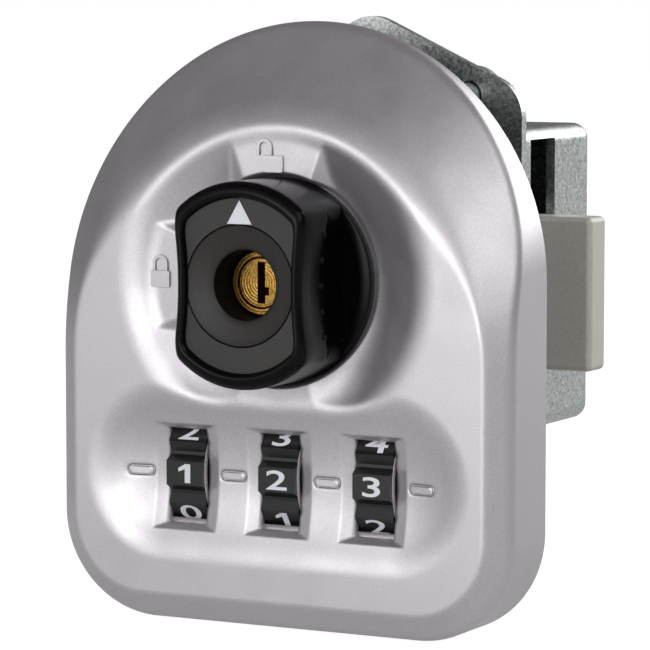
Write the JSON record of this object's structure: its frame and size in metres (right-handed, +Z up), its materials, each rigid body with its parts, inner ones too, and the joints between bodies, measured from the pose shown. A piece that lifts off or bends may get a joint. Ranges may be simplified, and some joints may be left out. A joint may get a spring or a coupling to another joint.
{
  "type": "combination locker lock",
  "caption": "Combination locker lock with code wheels, a turn knob with a key cylinder, and a sideways deadbolt in a steel case behind the door.",
  "frame": {"origin": "on the knob's turning axis, in the plane where the face plate's rim meets the front of the door", "axes": "+X to the right as the user faces the lock, which is the way the bolt goes out; +Y into the door; +Z up"},
  "size_m": [0.077, 0.072, 0.0926],
  "materials": {
    "satin_zinc": "satin silver coat on die-cast zinc",
    "dark_plastic": "moulded, matte",
    "black_plastic": "moulded, glossy rim and fine matte panel",
    "wheel_plastic": "moulded, matte",
    "white_paint": "white inlay",
    "brass": "turned",
    "bright_steel": "bright",
    "zinc_plate": "zinc-plated sheet steel",
    "bolt_zinc": "satin die-cast zinc"
  },
  "bodies": {
    "housing": {"face_plate": "satin_zinc", "mechanism_body": "dark_plastic", "body_screws": "zinc_plate", "wheel_axle": "bright_steel", "wheel_leaf_spring": "bright_steel", "bar_springs": "bright_steel", "plunger_spring": "bright_steel", "plunger_stopper": "bright_steel", "rear_flange": "zinc_plate", "mounting_screws": "zinc_plate", "case_shell": "zinc_plate", "case_rivets": "zinc_plate", "bolt_channel": "zinc_plate", "channel_rivets": "zinc_plate"},
    "knob": {"knob": "black_plastic", "pointer_inlay": "white_paint", "cylinder_barrel": "brass", "retaining_ring": "bright_steel", "spindle": "bright_steel", "locking_cam": "bright_steel", "drive_cam": "bright_steel"},
    "key_plug": {"cylinder_plug": "brass"},
    "bar": {"locking_bar": "bright_steel"},
    "plunger": {"detent_plunger": "bright_steel"},
    "bolt": {"deadbolt": "bolt_zinc"},
    "dial_1": {"code_wheel_1": "wheel_plastic", "code_sleeve_1": "bright_steel"},
    "dial_2": {"code_wheel_2": "wheel_plastic", "code_sleeve_2": "bright_steel"},
    "dial_3": {"code_wheel_3": "wheel_plastic", "code_sleeve_3": "bright_steel"}
  },
  "joints": [
    {"name": "knob_turn", "type": "hinge", "parent": "housing", "child": "knob", "pos_m": [0, 0, 0], "axis": [0, -1, 0], "range_deg": [0, 91]},
    {"name": "key_turn", "type": "hinge", "parent": "knob", "child": "key_plug", "pos_m": [0, 0, 0], "axis": [0, -1, 0], "range_deg": [-90, 0]},
    {"name": "bolt_slide", "type": "slide", "parent": "housing", "child": "bolt", "axis": [1, 0, 0], "range_m": [0, 0.0095]},
    {"name": "bar_dip", "type": "slide", "parent": "housing", "child": "bar", "axis": [0, 0, -1], "range_m": [0, 0.0009], "stiffness_N_per_m": 60, "springref_m": -0.003, "deforming": ["bar_springs"]},
    {"name": "plunger_lift", "type": "slide", "parent": "housing", "child": "plunger", "axis": [0, 0, 1], "range_m": [0, 0.0012], "stiffness_N_per_m": 60, "springref_m": -0.003, "deforming": ["plunger_spring"]},
    {"name": "dial_1_turn", "type": "hinge", "parent": "housing", "child": "dial_1", "pos_m": [-0.016, -0.0022, -0.0301], "axis": [1, 0, 0], "continuous": true},
    {"name": "dial_2_turn", "type": "hinge", "parent": "housing", "child": "dial_2", "pos_m": [0, -0.0022, -0.0301], "axis": [1, 0, 0], "continuous": true},
    {"name": "dial_3_turn", "type": "hinge", "parent": "housing", "child": "dial_3", "pos_m": [0.016, -0.0022, -0.0301], "axis": [1, 0, 0], "continuous": true}
  ],
  "couplings": [
    {"joint": "knob_turn", "follows": "bolt_slide", "rad_per_m": 165.35}
  ]
}
